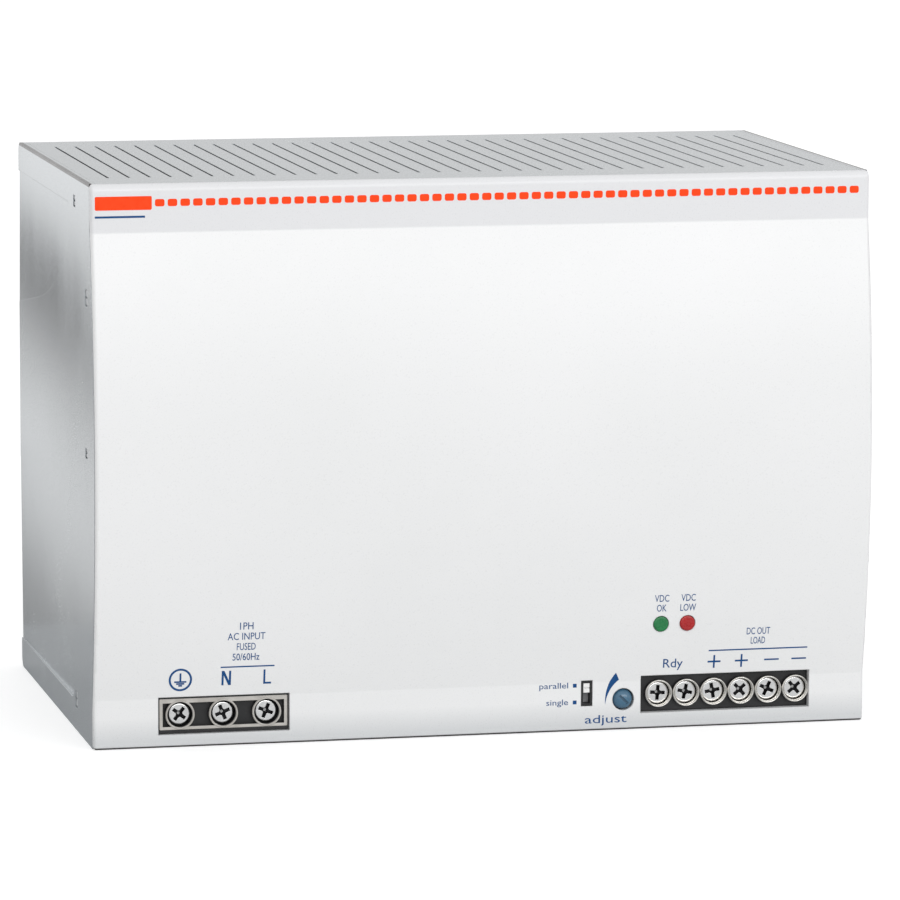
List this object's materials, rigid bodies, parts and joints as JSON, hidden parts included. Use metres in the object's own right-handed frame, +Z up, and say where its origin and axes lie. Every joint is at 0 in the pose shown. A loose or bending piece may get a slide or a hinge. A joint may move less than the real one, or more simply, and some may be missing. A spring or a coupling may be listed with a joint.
{
  "type": "din rail power supply",
  "caption": "Wide sheet-metal switch-mode power supply with a crowned front cover, screw terminals below and a sprung latch for a 35 mm top-hat rail.",
  "frame": {"origin": "middle of the plane on which the rail's flanges seat, on the rail's centreline", "axes": "+X right seen from the front, along the rail; +Y towards the rail; +Z up"},
  "size_m": [0.1756, 0.1203, 0.1244],
  "materials": {
    "sheet_metal": "zinc-plated and clear passivated sheet, satin",
    "cover_plastic": "fine moulded texture, light grey-white",
    "plated_steel": "bright zinc plated",
    "bracket_steel": "zinc-plated pressed steel",
    "spring_steel": "bright drawn wire",
    "terminal_plastic": "black moulded polyamide",
    "contact_metal": "tin-plated brass",
    "circuit_board": "glass-epoxy board with green solder mask",
    "green_lens": "tinted clear plastic",
    "red_lens": "tinted clear plastic",
    "component_white": "white moulded plastic",
    "trimmer_blue": "blue moulded plastic",
    "trimmer_knob": "blue-grey moulded plastic",
    "insulating_film": "translucent polyester film",
    "film_capacitor_yellow": "yellow potted box",
    "ferrite": "dark sintered ferrite",
    "copper_wire": "enamelled copper wire",
    "fuse_ceramic": "ceramic tube with nickel-plated caps",
    "capacitor_sleeve": "dark shrink sleeve over an aluminium can",
    "heat_sink_aluminium": "plain extruded aluminium",
    "semiconductor_epoxy": "black moulding compound",
    "winding_tape": "yellow polyester tape over the windings",
    "relay_blue": "blue relay case",
    "screw_metal": "bright nickel-plated steel"
  },
  "bodies": {
    "casing": {"chassis_shell": "sheet_metal", "left_side_panel": "sheet_metal", "right_side_panel": "sheet_metal", "front_cover": "cover_plastic", "case_screws": "plated_steel", "din_bracket": "bracket_steel", "latch_springs": "spring_steel", "bracket_screws": "plated_steel", "input_terminal_block": "terminal_plastic", "output_terminal_block": "terminal_plastic", "input_terminal_bars": "contact_metal", "output_terminal_bars": "contact_metal", "control_board": "circuit_board", "light_pipe_green": "green_lens", "light_pipe_red": "red_lens", "status_led_chips": "component_white", "trimmer_body": "trimmer_blue", "mode_switch_body": "terminal_plastic", "main_board": "circuit_board", "board_standoffs": "contact_metal", "board_screws": "plated_steel", "insulating_sheet": "insulating_film", "film_capacitors": "film_capacitor_yellow", "filter_choke_core": "ferrite", "filter_choke_windings": "copper_wire", "line_fuse": "fuse_ceramic", "fuse_clips": "contact_metal", "bulk_capacitors": "capacitor_sleeve", "primary_heat_sink": "heat_sink_aluminium", "power_transistors": "semiconductor_epoxy", "boost_choke_core": "ferrite", "boost_choke_winding": "copper_wire", "transformer_core": "ferrite", "transformer_coil": "winding_tape", "secondary_heat_sink": "heat_sink_aluminium", "output_rectifiers": "semiconductor_epoxy", "output_choke": "copper_wire", "output_capacitors": "capacitor_sleeve", "ready_relay": "relay_blue"},
    "din_latch": {"din_latch": "bracket_steel"},
    "trimmer_knob": {"trimmer_knob": "trimmer_knob"},
    "mode_switch_slider": {"mode_switch_slider": "component_white"},
    "earth_screw": {"earth_screw": "screw_metal"},
    "earth_clamp": {"earth_clamp": "contact_metal"},
    "neutral_screw": {"neutral_screw": "screw_metal"},
    "neutral_clamp": {"neutral_clamp": "contact_metal"},
    "line_screw": {"line_screw": "screw_metal"},
    "line_clamp": {"line_clamp": "contact_metal"},
    "ready_1_screw": {"ready_1_screw": "screw_metal"},
    "ready_1_clamp": {"ready_1_clamp": "contact_metal"},
    "ready_2_screw": {"ready_2_screw": "screw_metal"},
    "ready_2_clamp": {"ready_2_clamp": "contact_metal"},
    "plus_1_screw": {"plus_1_screw": "screw_metal"},
    "plus_1_clamp": {"plus_1_clamp": "contact_metal"},
    "plus_2_screw": {"plus_2_screw": "screw_metal"},
    "plus_2_clamp": {"plus_2_clamp": "contact_metal"},
    "minus_1_screw": {"minus_1_screw": "screw_metal"},
    "minus_1_clamp": {"minus_1_clamp": "contact_metal"},
    "minus_2_screw": {"minus_2_screw": "screw_metal"},
    "minus_2_clamp": {"minus_2_clamp": "contact_metal"}
  },
  "joints": [
    {"name": "earth_screw_turn", "type": "hinge", "parent": "casing", "child": "earth_screw", "pos_m": [-0.0684, -0.1075, -0.05515], "axis": [0, 1, 0], "range_deg": [0, 2088.01]},
    {"name": "earth_clamp_travel", "type": "slide", "parent": "casing", "child": "earth_clamp", "axis": [0, -1, 0], "range_m": [0, 0.0029]},
    {"name": "neutral_screw_turn", "type": "hinge", "parent": "casing", "child": "neutral_screw", "pos_m": [-0.0587, -0.1075, -0.05515], "axis": [0, 1, 0], "range_deg": [0, 2088.01]},
    {"name": "neutral_clamp_travel", "type": "slide", "parent": "casing", "child": "neutral_clamp", "axis": [0, -1, 0], "range_m": [0, 0.0029]},
    {"name": "line_screw_turn", "type": "hinge", "parent": "casing", "child": "line_screw", "pos_m": [-0.049, -0.1075, -0.05515], "axis": [0, 1, 0], "range_deg": [0, 2088.01]},
    {"name": "line_clamp_travel", "type": "slide", "parent": "casing", "child": "line_clamp", "axis": [0, -1, 0], "range_m": [0, 0.0029]},
    {"name": "ready_1_screw_turn", "type": "hinge", "parent": "casing", "child": "ready_1_screw", "pos_m": [0.0404, -0.1075, -0.0545], "axis": [0, 1, 0], "range_deg": [0, 2088.01]},
    {"name": "ready_1_clamp_travel", "type": "slide", "parent": "casing", "child": "ready_1_clamp", "axis": [0, -1, 0], "range_m": [0, 0.0029]},
    {"name": "ready_2_screw_turn", "type": "hinge", "parent": "casing", "child": "ready_2_screw", "pos_m": [0.04675, -0.1075, -0.0545], "axis": [0, 1, 0], "range_deg": [0, 2088.01]},
    {"name": "ready_2_clamp_travel", "type": "slide", "parent": "casing", "child": "ready_2_clamp", "axis": [0, -1, 0], "range_m": [0, 0.0029]},
    {"name": "plus_1_screw_turn", "type": "hinge", "parent": "casing", "child": "plus_1_screw", "pos_m": [0.0531, -0.1075, -0.0545], "axis": [0, 1, 0], "range_deg": [0, 2088.01]},
    {"name": "plus_1_clamp_travel", "type": "slide", "parent": "casing", "child": "plus_1_clamp", "axis": [0, -1, 0], "range_m": [0, 0.0029]},
    {"name": "plus_2_screw_turn", "type": "hinge", "parent": "casing", "child": "plus_2_screw", "pos_m": [0.05945, -0.1075, -0.0545], "axis": [0, 1, 0], "range_deg": [0, 2088.01]},
    {"name": "plus_2_clamp_travel", "type": "slide", "parent": "casing", "child": "plus_2_clamp", "axis": [0, -1, 0], "range_m": [0, 0.0029]},
    {"name": "minus_1_screw_turn", "type": "hinge", "parent": "casing", "child": "minus_1_screw", "pos_m": [0.0658, -0.1075, -0.0545], "axis": [0, 1, 0], "range_deg": [0, 2088.01]},
    {"name": "minus_1_clamp_travel", "type": "slide", "parent": "casing", "child": "minus_1_clamp", "axis": [0, -1, 0], "range_m": [0, 0.0029]},
    {"name": "minus_2_screw_turn", "type": "hinge", "parent": "casing", "child": "minus_2_screw", "pos_m": [0.07215, -0.1075, -0.0545], "axis": [0, 1, 0], "range_deg": [0, 2088.01]},
    {"name": "minus_2_clamp_travel", "type": "slide", "parent": "casing", "child": "minus_2_clamp", "axis": [0, -1, 0], "range_m": [0, 0.0029]},
    {"name": "trimmer_turn", "type": "hinge", "parent": "casing", "child": "trimmer_knob", "pos_m": [0.03195, -0.111, -0.05535], "axis": [0, 1, 0], "range_deg": [-135, 135]},
    {"name": "mode_switch_slide", "type": "slide", "parent": "casing", "child": "mode_switch_slider", "axis": [0, 0, -1], "range_m": [0, 0.00235]},
    {"name": "latch_slide", "type": "slide", "parent": "casing", "child": "din_latch", "axis": [0, 0, -1], "range_m": [0, 0.0045], "stiffness_N_per_m": 2400, "springref_m": -0.003, "deforming": ["latch_springs"]}
  ],
  "couplings": [
    {"joint": "earth_screw_turn", "follows": "earth_clamp_travel", "rad_per_m": 12566},
    {"joint": "neutral_screw_turn", "follows": "neutral_clamp_travel", "rad_per_m": 12566},
    {"joint": "line_screw_turn", "follows": "line_clamp_travel", "rad_per_m": 12566},
    {"joint": "ready_1_screw_turn", "follows": "ready_1_clamp_travel", "rad_per_m": 12566},
    {"joint": "ready_2_screw_turn", "follows": "ready_2_clamp_travel", "rad_per_m": 12566},
    {"joint": "plus_1_screw_turn", "follows": "plus_1_clamp_travel", "rad_per_m": 12566},
    {"joint": "plus_2_screw_turn", "follows": "plus_2_clamp_travel", "rad_per_m": 12566},
    {"joint": "minus_1_screw_turn", "follows": "minus_1_clamp_travel", "rad_per_m": 12566},
    {"joint": "minus_2_screw_turn", "follows": "minus_2_clamp_travel", "rad_per_m": 12566}
  ]
}
